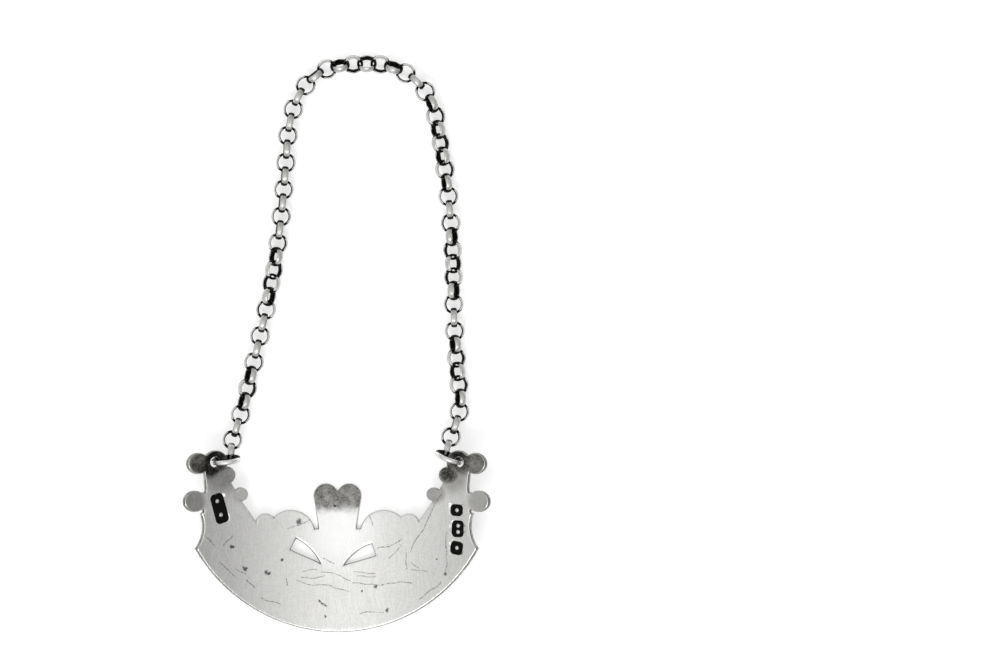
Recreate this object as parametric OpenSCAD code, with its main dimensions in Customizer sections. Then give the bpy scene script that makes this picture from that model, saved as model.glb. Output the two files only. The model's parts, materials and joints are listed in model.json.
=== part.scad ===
// Crescent wine label of bent silver sheet, hung by a belcher chain from two jump rings.
// It lies on its convex front with the hollow back up, and the chain is laid out above it.

/* [Plate] */
// Thickness of the sheet
plate_t = 1; // [0.7:0.05:1.3]
// Radius that the front face is bent to
bend_r = 46; // [40:1:60]
// Radius of the curved bottom edge, seen from above
bottom_r = 28.8; // [27:0.1:32]
// Height of the shoulders between the arms and the heart, above the bottom edge
shoulder_y = 18.4; // [17:0.1:19.5]
// Radius of the wide arch on each shoulder
arch_r = 4.4; // [3.6:0.1:4.8]
// Distance of the wide arch from the middle
arch_x = 8.4; // [7.6:0.1:9]
// Radius of the small lobe beside the wide arch
dip_lobe_r = 1.8; // [1.4:0.1:2.1]
// Distance of the small shoulder lobe from the middle
dip_lobe_x = 12.9; // [12.2:0.1:13.6]

/* [Arms] */
// Distance of the arm's outer edge from the middle
arm_x = 24; // [23.4:0.1:24.6]
// Radius of the outer lobes
lobe_r = 1.9; // [1.5:0.05:2.2]
// Distance of the lower outer lobe from the middle
lobe_x = 25.5; // [25:0.1:26]
// Distance of the upper outer lobe from the middle
top_lobe_x = 24.9; // [24.4:0.1:26]
// Height of the lower outer lobe above the bottom edge
low_lobe_y = 23.4; // [22.8:0.1:24]
// Height of the upper outer lobe above the bottom edge
top_lobe_y = 30.1; // [29.4:0.1:30.8]
// Radius of the eye that carries the jump ring
eye_r = 2.1; // [1.8:0.05:2.4]
// Radius of the round on the arm's inner edge, below the eye
round_r = 1.5; // [1.2:0.05:1.8]
// Radius of the lobe on the arm's inner edge
inner_lobe_r = 1.25; // [1:0.05:1.5]
// Distance of the inner lobe from the middle
inner_lobe_x = 17.3; // [16.9:0.1:17.8]
// Height of the inner lobe above the bottom edge
inner_lobe_y = 24.6; // [24.2:0.1:25.2]
// Width of the neck that joins an outer lobe to the arm
lobe_neck = 3.1; // [2.4:0.1:3.2]
// Radius of the hollow between the lower lobe and the tip
hollow_r = 6.4; // [5.6:0.1:7.5]
// Distance of the hollow's middle below the lower lobe
hollow_drop = 4.45; // [4.2:0.05:5]

/* [Heart] */
// Radius of the heart's two rounds
heart_r = 2.3; // [1.9:0.05:2.6]
// Height of the heart's rounds above the bottom edge
heart_y = 24.2; // [23:0.1:25.5]
// Half the width of the heart where it joins the plate
heart_root = 3.3; // [2.6:0.1:3.8]

/* [Piercings] */
// Distance of a leaf's point from the middle of the pair
leaf_point_x = 2.2; // [1.5:0.1:3]
// Height of a leaf's point above the bottom edge
leaf_point_y = 12.1; // [11.4:0.1:12.8]
// Length of a leaf from its point to its butt
leaf_l = 5.9; // [5:0.1:7]
// Width of a leaf at its butt
leaf_w = 2.25; // [2:0.05:3]
// Distance of the pair's middle from the plate's middle, to the right
leaf_shift = -0.95; // [-1.2:0.05:1.2]
// Turn of the pair out of level, in degrees
leaf_skew = -4; // [-6:1:6]

/* [Jump rings] */
// Diameter of the ring wire
ring_wire = 0.9; // [0.6:0.05:1]
// Outer diameter of a ring
ring_od = 5.3; // [5:0.1:6]
// Clearance of the ring wire in the hole in the eye
hole_gap = 0.85; // [0.75:0.05:0.95]
// Distance of the holes from the middle
hole_x = 21.8; // [21.4:0.1:22.2]
// Height of the holes above the bottom edge
hole_y = 30.3; // [29.8:0.1:30.6]

/* [Chain] */
// Single links on each side, from a ring to the crown
side_links = 28; // [26:1:28]
// Links in the crown of the chain
crown_links = 10; // [8:1:14]
// Outer diameter of a link
link_od = 3.56; // [3.4:0.02:3.7]
// Thickness of the oval link wire
link_t = 0.47; // [0.42:0.01:0.5]
// Width of the oval link wire
link_w = 1.15; // [0.9:0.05:1.2]
// Radius of the link wire's outer face, across its width
wire_out_r = 0.95; // [0.75:0.01:1.1]
// Radius of the link wire's inner face, across its width
wire_in_r = 0.8; // [0.65:0.01:0.9]
// Play between two hooked links
link_play = 0.22; // [0.18:0.01:0.3]

/* [Hidden] */
$fa = 5;
$fs = 0.3;
UP = [0, 0, 1];
links = 2 * side_links + crown_links;
function two(n) = n < 10 ? str("0", n) : str(n);

// Vectors
function unit(v) = v / norm(v);
function heading(a) = [cos(a), sin(a), 0];
function bearing(v) = atan2(v[1], v[0]);

// Plate: the blank is drawn as seen from above and pulled out along rays from the axis of the bend,
// so that its edges stand square to the bent sheet.
back_r = bend_r - plate_t;
mid_r = bend_r - plate_t / 2;
reach = max(lobe_x, top_lobe_x) + lobe_r;
spare = 1;
sheet_l = max(top_lobe_y + lobe_r, hole_y + eye_r, heart_y + heart_r) + 2 * spare;
ray_long = bend_r + spare;
ray_short = back_r * cos(asin(reach / bend_r)) - spare;
function ray_x(x) = ray_long * x / sqrt(bend_r * bend_r - x * x);
function rays(points) = [for (p = points) [ray_x(p[0]), p[1]]];
function arc(c, r, from, to, n) =
    [for (i = [0 : n]) c + r * [cos(from + (to - from) * i / n), sin(from + (to - from) * i / n)]];

// Outline of the crescent's right half, without lobes: the hollow cuts the tip short of the arc's end
arc_end = -20;
arc_steps = 36;
hollow_at = [arm_x + hollow_r, low_lobe_y - hollow_drop];
waist_y = (low_lobe_y + top_lobe_y) / 2;
waist_in = 0.4;
dip_lobe_rise = 1;
dip_lobe_at = [dip_lobe_x, shoulder_y + dip_lobe_rise];
arch_sink = 1;
arch_at = [arch_x, shoulder_y - arch_sink];
foot_rise = 0.3;
arm_foot = dip_lobe_at + [dip_lobe_r, foot_rise];
hole_xy = [hole_x, hole_y];
round_in = 2;
round_drop = 2.3;
round_at = hole_xy - [round_in, round_drop];
half_outline = concat(
    arc([0, bottom_r], bottom_r, -90, arc_end, arc_steps),
    [
        [arm_x, low_lobe_y - lobe_r],
        [arm_x - waist_in, waist_y - lobe_r / 2],
        [top_lobe_x - lobe_r / 2, top_lobe_y - lobe_r / 2],
        hole_xy,
        round_at,
        [inner_lobe_x + inner_lobe_r / 2, inner_lobe_y],
        arm_foot,
        [dip_lobe_x, shoulder_y],
        [arch_x, shoulder_y],
        [heart_root, shoulder_y],
        [0, shoulder_y]
    ]
);

// Heart: two rounds that overlap at the notch, on a body that narrows to its root
heart_lap = 0.2;
heart_tuck = 0.1;
heart_fall = 0.6;
heart_round_at = [heart_r - heart_lap, heart_y];
heart_side = heart_round_at + [heart_r - heart_tuck, -heart_fall];
heart_notch = [0, heart_y + heart_r / 2];
heart_foot = [heart_root, shoulder_y - arch_sink];

// Leaf-shaped piercing: a bowed upper edge from the point to the butt, and a straight lower edge
leaf_turn = 20.5;
butt_turn = 93;
leaf_bow = 18;
leaf_steps = 12;
leaf_point = [leaf_point_x, leaf_point_y];
leaf_butt = leaf_point + leaf_l * [cos(leaf_turn), sin(leaf_turn)];
leaf_top = leaf_butt + leaf_w * [cos(leaf_turn + butt_turn), sin(leaf_turn + butt_turn)];
function bow(a, b, turn, n) =
    let (chord = b - a, r = norm(chord) / (2 * sin(turn)), start = atan2(chord[1], chord[0]) + turn)
    let (c = a + r * [sin(start), -cos(start)])
    arc(c, r, start + 90, start + 90 - 2 * turn, n);
leaf_outline = concat(bow(leaf_point, leaf_top, leaf_bow, leaf_steps), [leaf_butt]);
function skewed(p) =
    [leaf_shift + p[0] * cos(leaf_skew) - (p[1] - leaf_point_y) * sin(leaf_skew),
     leaf_point_y + p[0] * sin(leaf_skew) + (p[1] - leaf_point_y) * cos(leaf_skew)];

// Height of the bent sheet's middle above the table
function sheet_z(x) = bend_r - sqrt(mid_r * mid_r - x * x);

// Jump rings: each stands in its hole, points inwards and leans over its hook point, which lies far enough
// from the hole for the first link to pass the eye
ring_r = (ring_od - ring_wire) / 2;
ring_dip = 14;
ring_lean = 12;
left_turn = 10;
right_turn = 24;
left_gap = 0.8;
right_gap = 0.7;
hole_r = (ring_wire + hole_gap) / 2;
function hole_at(side) = [-side * hole_x, hole_y, sheet_z(hole_x)];
function ring_turn(side) = side > 0 ? left_turn : right_turn;
function hook_reach(side) = eye_r + link_w / 2 + (side > 0 ? left_gap : right_gap);
function hook_angle(side) = -acos(hook_reach(side) / (ring_r * cos(ring_dip)) - 1);
function ring_out(side) =
    [side * cos(ring_turn(side)) * cos(ring_dip), sin(ring_turn(side)) * cos(ring_dip), -sin(ring_dip)];
function ring_flat(side) = [-side * sin(ring_turn(side)), cos(ring_turn(side)), 0];
function ring_up(side) =
    cos(ring_lean) * side * cross(ring_out(side), ring_flat(side)) - sin(ring_lean) * ring_flat(side);
function ring_at(side) = hole_at(side) + ring_r * ring_out(side);
function hook_at(side) =
    let (a = hook_angle(side)) ring_at(side) + ring_r * (cos(a) * ring_out(side) + sin(a) * ring_up(side));
function hook_run(side) =
    let (a = hook_angle(side)) cos(a) * ring_up(side) - sin(a) * ring_out(side);
function hook_dir(side) = unit(side * cross(UP, hook_run(side)));

// Chain: each link stands one pitch from the last, along a loop that ends at the two rings
link_r = link_od / 2;
bore_r = link_r - link_t;
pitch = 2 * bore_r - link_play;
hook_l = bore_r - ring_wire / 2 - link_play / 2;
table_gap = 0.04;
table_z = link_r + table_gap;
fall_links = 4;
first_at = hook_at(1) + hook_l * hook_dir(1);
last_at = hook_at(-1) + hook_l * hook_dir(-1);

// Headings of the chain, by its length in percent, as it lies
route = [
    [0, bearing(hook_dir(1))], [2, 72], [7, 76], [16, 77], [22, 81], [30, 85], [36, 86], [39, 77],
    [41, 67], [44, 44], [47.5, 9], [51.5, -2], [54.5, -24], [57.5, -48], [61.5, -79], [67, -81],
    [73, -85], [82, -90], [93, -83], [97, -112], [100, bearing(hook_dir(-1)) - 180]
];

// Turns of the links about the chain, by link: added to flat and upright in turn
twist = [
    [1, 0], [3, 0], [6, 33], [9, 0], [11, 0], [18, -84], [23, -84], [29, -90], [34, -45], [38, -90],
    [43, -130], [48, -90], [52, -48], [56, -90], [60, -130], [63, -96], [65, -90], [66, -90]
];

function fall(k) = k > fall_links ? 0 : pow(1 - (k - 1) / fall_links, 2);
function link_z(k) =
    table_z + (first_at[2] - table_z) * fall(k) + (last_at[2] - table_z) * fall(links + 1 - k);
function step_l(k) = sqrt(pitch * pitch - pow(link_z(k + 1) - link_z(k), 2));
function step_turn(k, open) = open * lookup(100 * (k - 0.5) / (links - 1), route);
function total(list, i = 0, sum = [0, 0, 0]) = i == len(list) ? sum : total(list, i + 1, sum + list[i]);
function chain_span(open) =
    total([for (k = [1 : links - 1]) step_l(k) * heading(step_turn(k, open))]);

// The loop opens or closes until its ends are as far apart as the rings are, and then turns onto them
ends = [last_at[0] - first_at[0], last_at[1] - first_at[1], 0];
fit_rounds = 40;
function fit_open(low, high, n) =
    let (open = (low + high) / 2)
    n == 0 ? open
    : norm(chain_span(open)) > norm(ends) ? fit_open(open, high, n - 1)
    : fit_open(low, open, n - 1);
loop_open = fit_open(0.7, 1.3, fit_rounds);
loop_turn = bearing(ends) - bearing(chain_span(loop_open));
chain_steps =
    [for (k = [1 : links - 1]) step_l(k) * heading(step_turn(k, loop_open) + loop_turn)];
function walk(steps, at, i = 0) =
    i == len(steps) ? [at] : concat([at], walk(steps, at + steps[i], i + 1));
flat_at = walk(chain_steps, first_at);
link_at = [for (k = [1 : links]) [flat_at[k - 1][0], flat_at[k - 1][1], link_z(k)]];
function before(k) = k == 1 ? hook_at(1) : link_at[k - 2];
function after(k) = k == links ? hook_at(-1) : link_at[k];
function link_dir(k) = unit(after(k) - before(k));
function link_turn(k) = 90 * (k % 2) + lookup(k, twist);
function link_axis(k) =
    let (d = link_dir(k), up = unit(UP - (UP * d) * d))
    cos(link_turn(k)) * up + sin(link_turn(k)) * cross(d, up);

// The origin lies on the table in the middle of the label's length
function link_top(k) =
    let (a = link_axis(k)[1]) link_at[k - 1][1] + sqrt(1 - a * a) * (link_r - wire_out_r) + wire_out_r;
mid_y = max([for (k = [1 : links]) link_top(k)]) / 2;

module placed() {
    translate([0, -mid_y, 0]) children();
}

module framed(at, x, z) {
    y = cross(z, x);
    multmatrix([
        [x[0], y[0], z[0], at[0]],
        [x[1], y[1], z[1], at[1]],
        [x[2], y[2], z[2], at[2]],
        [0, 0, 0, 1]
    ]) children();
}

module both_sides() {
    children();
    mirror([1, 0, 0]) children();
}

// A round that looks circular from above once the blank is bent
module blank_round(at, r) {
    sides = ceil(min(360 / $fa, 2 * PI * r / $fs));
    polygon(rays([for (i = [1 : sides]) at + r * [cos(360 * i / sides), sin(360 * i / sides)]]));
}

// A lobe on the arm's outer edge, with its neck
module outer_lobe(x, y) {
    blank_round([x, y], lobe_r);
    polygon(rays([
        [arm_x - lobe_r, y - lobe_neck / 2],
        [x, y - lobe_neck / 2],
        [x, y + lobe_neck / 2],
        [arm_x - lobe_r, y + lobe_neck / 2]
    ]));
}

module blank() {
    difference() {
        union() {
            both_sides() difference() {
                polygon(rays(half_outline));
                blank_round(hollow_at, hollow_r);
            }
            both_sides() {
                outer_lobe(lobe_x, low_lobe_y);
                outer_lobe(top_lobe_x, top_lobe_y);
                blank_round(hole_xy, eye_r);
                blank_round(round_at, round_r);
                blank_round([inner_lobe_x, inner_lobe_y], inner_lobe_r);
                blank_round(dip_lobe_at, dip_lobe_r);
                blank_round(arch_at, arch_r);
                blank_round(heart_round_at, heart_r);
                polygon(rays([[0, heart_foot[1]], heart_foot, heart_side, heart_notch]));
            }
        }
        for (side = [-1, 1]) polygon(rays([for (p = leaf_outline) skewed([side * p[0], p[1]])]));
    }
}

// The blank pulled out along the rays, from outside the front face to inside the back face
module rayed_blank() {
    translate([0, 0, bend_r - ray_long])
        linear_extrude(
            height = ray_long - ray_short, scale = [ray_short / ray_long, 1], slices = 1, segments = 1
        ) blank();
}

module bent_sheet() {
    translate([0, -spare, bend_r]) rotate([-90, 0, 0]) difference() {
        cylinder(h = sheet_l, r = bend_r);
        translate([0, 0, -spare]) cylinder(h = sheet_l + 2 * spare, r = back_r);
    }
}

module eye_hole() {
    translate([0, hole_y, bend_r]) rotate([0, 180 + asin(hole_x / mid_r), 0])
        translate([0, 0, back_r - spare]) cylinder(h = plate_t + 2 * spare, r = hole_r);
}

module label_plate() {
    color("gainsboro") placed() difference() {
        intersection() {
            rayed_blank();
            bent_sheet();
        }
        both_sides() eye_hole();
    }
}

module jump_ring(side) {
    color("silver") placed() framed(ring_at(side), ring_out(side), cross(ring_out(side), ring_up(side)))
        rotate_extrude() translate([ring_r, 0]) circle(ring_wire / 2);
}

// Section of the link wire: an oval of two arcs, cut to the wire's width
module link_section() {
    intersection() {
        translate([bore_r + wire_in_r, 0]) circle(wire_in_r);
        translate([link_r - wire_out_r, 0]) circle(wire_out_r);
        translate([bore_r, -link_w / 2]) square([link_t, link_w]);
    }
}

module chain_link(k) {
    color(k % 2 == 0 ? "silver" : "darkgray") placed() framed(link_at[k - 1], link_dir(k), link_axis(k))
        rotate_extrude() link_section();
}

module chain_crown() {
    for (k = [side_links + 1 : side_links + crown_links]) chain_link(k);
}

label_plate();
jump_ring(1);  // left_ring
jump_ring(-1);  // right_ring
chain_crown();
for (k = [1 : side_links]) {
    chain_link(k);
    chain_link(links + 1 - k);
}
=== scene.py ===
"""Dresses the frame of a silver wine label: bent plate, jump rings, belcher chain and a white table."""

import json
import math
from collections import namedtuple

import bpy
import numpy as np
from bpy.props import FloatProperty, FloatVectorProperty, IntProperty, PointerProperty
from mathutils import Matrix, Vector
from mathutils.geometry import intersect_line_line_2d


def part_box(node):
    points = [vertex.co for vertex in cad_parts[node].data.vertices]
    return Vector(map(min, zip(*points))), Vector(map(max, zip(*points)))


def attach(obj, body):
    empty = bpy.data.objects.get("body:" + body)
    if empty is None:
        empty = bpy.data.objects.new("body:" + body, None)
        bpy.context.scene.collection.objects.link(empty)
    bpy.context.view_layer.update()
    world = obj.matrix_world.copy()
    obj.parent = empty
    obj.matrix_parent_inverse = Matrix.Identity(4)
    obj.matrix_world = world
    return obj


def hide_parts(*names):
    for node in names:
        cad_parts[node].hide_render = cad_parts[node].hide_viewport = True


bl_info = {
    "name": "Wine label",
    "version": (1, 0, 0),
    "blender": (4, 5, 0),
    "location": "View3D > Sidebar > Wine label",
    "description": "Dresses the frame of a silver wine label with its chain",
    "category": "Object",
}

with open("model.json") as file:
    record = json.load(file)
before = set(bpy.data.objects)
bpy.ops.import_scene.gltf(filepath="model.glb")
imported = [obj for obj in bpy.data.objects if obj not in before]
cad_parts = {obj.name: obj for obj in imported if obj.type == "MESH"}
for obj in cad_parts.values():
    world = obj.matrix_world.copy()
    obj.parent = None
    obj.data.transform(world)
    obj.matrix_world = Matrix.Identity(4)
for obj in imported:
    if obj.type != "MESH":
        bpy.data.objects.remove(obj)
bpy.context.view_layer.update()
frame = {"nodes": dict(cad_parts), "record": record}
PLATE_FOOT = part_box("label_plate")[0].y
LEFT_LINKS = sorted(n for n in frame["nodes"] if n.startswith("left_link_"))
RIGHT_LINKS = sorted(n for n in frame["nodes"] if n.startswith("right_link_"))
BODY_OF = {node: body for body, nodes in frame["record"]["behaviour"]["bodies"].items() for node in nodes}
MM = 0.001
# Points of a mesh this near to each other, in metres, are one: as the mesh comes, and after a cut
SAME_POINT = 1e-7
CUT_POINT = 1e-6
# Where the flat sheet is parted through its holes before its edges are rounded, in millimetres across it.
# In degrees: turns of the outline that count as straight, and edges that are rounded or stay sharp.
PARTINGS = (-22.98, -6.0, 2.5, 22.98)
STRAIGHT_TURN = 1.5
ROUNDED_TURN = 40
SHARP_TURN = 32

# Struck recesses on the back, from the middle of the plate's foot, in millimetres.
# Each holds plain round pellets, placed along the recess.
# The corner is a share of the recess's width, and the rise of a pellet a share of its depth.
Mark = namedtuple("Mark", "x y width height turn pellets")
RECESS_CORNER = 0.3
PELLET_RISE = 0.7
MARKS = (
    Mark(x=-20.8, y=22.1, width=2.7, height=5.4, turn=17, pellets=(1.35, -1.2)),
    Mark(x=21.2, y=21.8, width=2.6, height=2.1, turn=-4, pellets=(0.0,)),
    Mark(x=21.4, y=18.5, width=2.5, height=3.0, turn=-2, pellets=(0.55, -0.55)),
    Mark(x=21.2, y=15.1, width=2.6, height=2.4, turn=-10, pellets=(0.0,)),
)

# Noise that moves a place about, so that what is drawn there bends or frays, in millimetres
Drift = namedtuple("Drift", "scale reach")

# Long scratches on the back: start and end, in millimetres from the middle of the plate's foot
SCRATCH_WIDTH = 0.15
SCRATCH_DRIFT = Drift(scale=0.25, reach=1.6)
SCRATCHES = (
    ((18.4, 24.4), (13.0, 14.1)),
    ((7.2, 14.9), (11.5, 16.7)),
    ((-6.5, 9.7), (-2.2, 9.9)),
    ((-7.4, 9.1), (-3.2, 8.4)),
    ((-3.2, 8.4), (1.8, 7.3)),
    ((-2.8, 10.9), (2.2, 9.3)),
    ((2.8, 10.9), (6.7, 10.7)),
    ((3.4, 10.0), (6.7, 10.2)),
    ((2.6, 8.8), (13.4, 8.6)),
    ((-5.9, 10.9), (-3.6, 11.3)),
    ((-2.6, 13.3), (-0.7, 12.5)),
    ((-17.9, 11.6), (-16.3, 10.5)),
    ((-15.9, 9.3), (-14.8, 8.0)),
    ((-8.8, 18.4), (-4.7, 20.3)),
    ((13.2, 11.2), (15.7, 10.9)),
    ((19.4, 17.8), (19.5, 10.3)),
    ((-23.6, 17.6), (-21.7, 15.9)),
    ((13.2, 12.6), (14.4, 11.6)),
    ((4.2, 3.3), (8.2, 3.7)),
    ((14.6, 5.7), (18.2, 9.3)),
    ((-20.2, 15.7), (-18.6, 17.4)),
    ((5.7, 20.5), (6.1, 19.0)),
    ((-9.0, 9.7), (-8.8, 8.4)),
    ((8.8, 13.2), (11.1, 15.9)),
    ((12.1, 14.3), (12.3, 11.3)),
    ((-13.4, 6.4), (-10.2, 4.9)),
    ((-20.9, 12.9), (-18.2, 10.2)),
)

# Short gouges on the back, given like the scratches
GOUGE_WIDTH = 0.36
GOUGES = (
    ((-3.3, 5.6), (-2.0, 4.6)),
    ((-16.6, 11.5), (-16.1, 11.1)),
)

# Dark pits on the back: place and radius, in millimetres from the middle of the plate's foot
PIT_CORE = 0.25
PIT_DRIFT = Drift(scale=1.5, reach=0.7)
PITS = (
    ((-6.8, 19.7), 0.75),
    ((-12.6, 10.7), 0.5),
    ((-12.1, 10.5), 0.4),
    ((-18.6, 15.2), 0.5),
    ((-16.2, 11.4), 0.42),
    ((-9.8, 12.8), 0.36),
    ((6.8, 8.1), 0.42),
    ((8.8, 3.9), 0.5),
    ((-0.5, 22.4), 0.4),
    ((17.7, 13.0), 0.3),
    ((19.2, 10.5), 0.36),
    ((4.3, 7.4), 0.26),
    ((-2.2, 2.8), 0.34),
)

# Darker places on the back, in millimetres from the middle of the plate's foot: the core is the share of
# the radius that is evenly dark
Patch = namedtuple("Patch", "x y radius core tone")
DARK_PATCHES = (
    Patch(x=-21.6, y=30.6, radius=4.2, core=0.3, tone=1.0),
    Patch(x=-23.9, y=30.0, radius=3.3, core=0.4, tone=0.95),
    Patch(x=-20.4, y=28.2, radius=5.4, core=0.25, tone=0.6),
    Patch(x=-25.6, y=23.4, radius=2.8, core=0.6, tone=0.5),
    Patch(x=-17.3, y=24.8, radius=2.2, core=0.5, tone=0.22),
    Patch(x=21.9, y=30.4, radius=4.0, core=0.3, tone=1.0),
    Patch(x=19.8, y=28.3, radius=2.8, core=0.4, tone=0.95),
    Patch(x=25.0, y=30.0, radius=3.4, core=0.5, tone=0.8),
    Patch(x=20.6, y=27.4, radius=4.0, core=0.2, tone=0.5),
    Patch(x=25.5, y=23.4, radius=2.8, core=0.6, tone=0.38),
    Patch(x=17.4, y=24.8, radius=2.4, core=0.5, tone=0.5),
)
# Black places round the rings
BLACK_BY_RINGS = (
    Patch(x=-22.6, y=28.9, radius=2.0, core=0.35, tone=0.9),
    Patch(x=-21.7, y=31.2, radius=2.4, core=0.4, tone=0.9),
    Patch(x=21.6, y=31.8, radius=2.0, core=0.3, tone=0.8),
    Patch(x=19.5, y=28.4, radius=1.8, core=0.2, tone=0.45),
)
# Painted shade on the heart's top, standing for a dark reflection, fades out downwards and sideways between
# these places. The plate is bright below it, a painted highlight.
HEART_FADE = (20.7, 22.9)
HEART_SIDE = (7.0, 6.0)
HEART_TONE = 0.8
# Painted highlight: a bright round patch below the heart, blended towards the brightest silver
PAINTED_HIGHLIGHT = Patch(x=0.2, y=18.0, radius=9.5, core=0.2, tone=0.9)
# Depths below the back face, in millimetres, between which its wear ends and the painted shade along its
# edges begins
BACK_DEPTH = (0.07, 0.02)
RIM_DEPTH = (0.06, 0.12)
RIM_SHADE_TONE = 0.85
# That painted shade is faint on the arches, which end sideways and downwards between these places
ARCH_SIDE = (19.0, 16.0)
ARCH_FOOT = (18.6, 19.6)
ARCH_RIM_SHADE = 0.25
# How strongly the plate's marks show: mottling of the dark patches with the painted shade, and of the
# painted highlight, dust beside pits, the black of the damage, and what the darkening adds to the roughness
DARKENING_MOTTLE = 0.9
HIGHLIGHT_MOTTLE = 0.3
HEART_MOTTLE = 2.0
DUST_SHARE = 0.4
DAMAGE_BLACK = 0.85
DARKENING_ROUGH = 0.15
# Dull silver as a share of the bright one, and the share of specks among the lines that tell them apart
DULL_SHARE = 0.88
SPECK_SHARE = 0.7

# Fine lines that rubbing leaves on the plate and along the wire, the share of those that run down the plate,
# and how high they are beside a pit's depth
Rubbing = namedtuple("Rubbing", "stretch scale")
RUB_DRIFT = Drift(scale=0.12, reach=6.0)
RUB_ACROSS = Rubbing(stretch=0.06, scale=2.6)
RUB_DOWN = Rubbing(stretch=0.08, scale=3.4)
RUB_WIRE = Rubbing(stretch=0.12, scale=7.0)
DOWN_SHARE = 0.75
LINE_HEIGHT = 0.12

# Seams of the rings and links: place and reach in degrees round the wire, and the size of the wire there
Seam = namedtuple("Seam", "angle reach size")
RING_SEAM = Seam(angle=70, reach=1, size=0.93)
LINK_SEAM = Seam(angle=90, reach=4, size=1.05)
RING_SIDES = 20
LINK_SIDES = 18

# Patina of the wire with painted shade added, from 0 to 1. It turns from bright to black between the two
# values of the edge.
PATINA_AND_SHADE_EDGE = (0.56, 0.74)
INSIDE_PATINA = 0.9
# Oxide and painted shade where a link hooks into its neighbours: how dark it gets, and the share of the
# radius at which that starts and over which it grows
HOOK_PATINA_AND_SHADE = 0.7
HOOK_START = 0.6
HOOK_GROWTH = 0.3
# Painted shade on the sides of the wire as it lies at rest: how dark they get, and the upward part of the
# normal at which that starts and over which it grows
SIDE_SHADE = 0.6
SIDE_START = 0.65
SIDE_GROWTH = 0.35
# Streaks along the wire: how strongly they show, their share of the bright colour, and how far they move on
# from one link to the next
STREAK_SHARE = 0.35
STREAK_TONE = 0.45
STREAK_STEP = (13.7, 3.1)
# Blotches on the wire: how far they move the edge of the black, and how high they are beside the streaks
BLOTCH_EDGE = 0.5
BLOTCH_HEIGHT = 0.6
BLACK_ROUGH = 0.2

# The table lies just below the label, in metres. The camera's sensor is in millimetres.
TABLE_SIZE = 6
TABLE_DROP = 0.0001
SENSOR_WIDTH = 36
# Light of the room: everywhere, more overhead and how closely that is gathered, and more on the left
ROOM_TONE = 0.5
ROOM_OVERHEAD = 0.5
ROOM_GATHER = 3.0
ROOM_LEFT = 0.13


class PlateSettings(bpy.types.PropertyGroup):
    """Sizes and colours of the bent plate."""

    bend_radius: FloatProperty(
        name="Bend radius", description="Radius of the convex front face", default=0.046, unit="LENGTH"
    )
    thickness: FloatProperty(
        name="Thickness", description="Thickness of the sheet", default=0.001, unit="LENGTH"
    )
    edge_round: FloatProperty(
        name="Edge round", description="Width of the worn round on the sheet's edges",
        default=0.0003, unit="LENGTH",
    )
    strip: FloatProperty(
        name="Strip", description="Width of the strips that the sheet is cut into before it is bent",
        default=0.0008, unit="LENGTH",
    )
    weld: FloatProperty(
        name="Weld", description="Distance below which the outline's points are one", default=0.00002,
        unit="LENGTH",
    )
    mark_depth: FloatProperty(
        name="Mark depth", description="Depth of the struck recesses", default=0.00022, unit="LENGTH"
    )
    pellet_radius: FloatProperty(
        name="Pellet radius", description="Radius of a pellet where it stands on its recess",
        default=0.00052, unit="LENGTH",
    )
    silver: FloatVectorProperty(
        name="Silver", description="Colour of the worn silver", subtype="COLOR", default=(0.84, 0.835, 0.815)
    )
    # Colour towards which the painted highlight below the heart is blended
    painted_highlight: FloatVectorProperty(
        name="Painted highlight", description="Colour of the brightest silver", subtype="COLOR",
        default=(0.97, 0.97, 0.96),
    )
    # Colour of the dark patches, and of the painted shade on the heart's top and along the edges
    dark_patch_and_shade: FloatVectorProperty(
        name="Patch", description="Colour of the tarnish", subtype="COLOR", default=(0.075, 0.07, 0.06)
    )
    oxide: FloatVectorProperty(
        name="Oxide", description="Colour of the black in recesses and pits", subtype="COLOR",
        default=(0.012, 0.012, 0.011),
    )


class ChainSettings(bpy.types.PropertyGroup):
    """Sizes and colours of the rings and links."""

    link_outer: FloatProperty(
        name="Link diameter", description="Outer diameter of a link", default=0.00354, unit="LENGTH"
    )
    wire_thickness: FloatProperty(
        name="Wire thickness", description="Thickness of the oval link wire", default=0.00045, unit="LENGTH"
    )
    wire_width: FloatProperty(
        name="Wire width", description="Width of the oval link wire", default=0.0011, unit="LENGTH"
    )
    ring_outer: FloatProperty(
        name="Ring diameter", description="Outer diameter of a jump ring", default=0.0053, unit="LENGTH"
    )
    ring_wire: FloatProperty(
        name="Ring wire", description="Diameter of the ring wire", default=0.0009, unit="LENGTH"
    )
    turns: IntProperty(name="Steps", description="Steps of a ring or link round its axis", default=48)
    silver: FloatVectorProperty(
        name="Silver", description="Colour of the links' rubbed silver", subtype="COLOR",
        default=(0.7, 0.695, 0.675),
    )
    ring_silver: FloatVectorProperty(
        name="Ring silver", description="Colour of the rings' rubbed silver", subtype="COLOR",
        default=(0.93, 0.925, 0.905),
    )
    oxide: FloatVectorProperty(
        name="Oxide", description="Colour of the oxidised silver", subtype="COLOR",
        default=(0.006, 0.006, 0.0055),
    )


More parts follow.
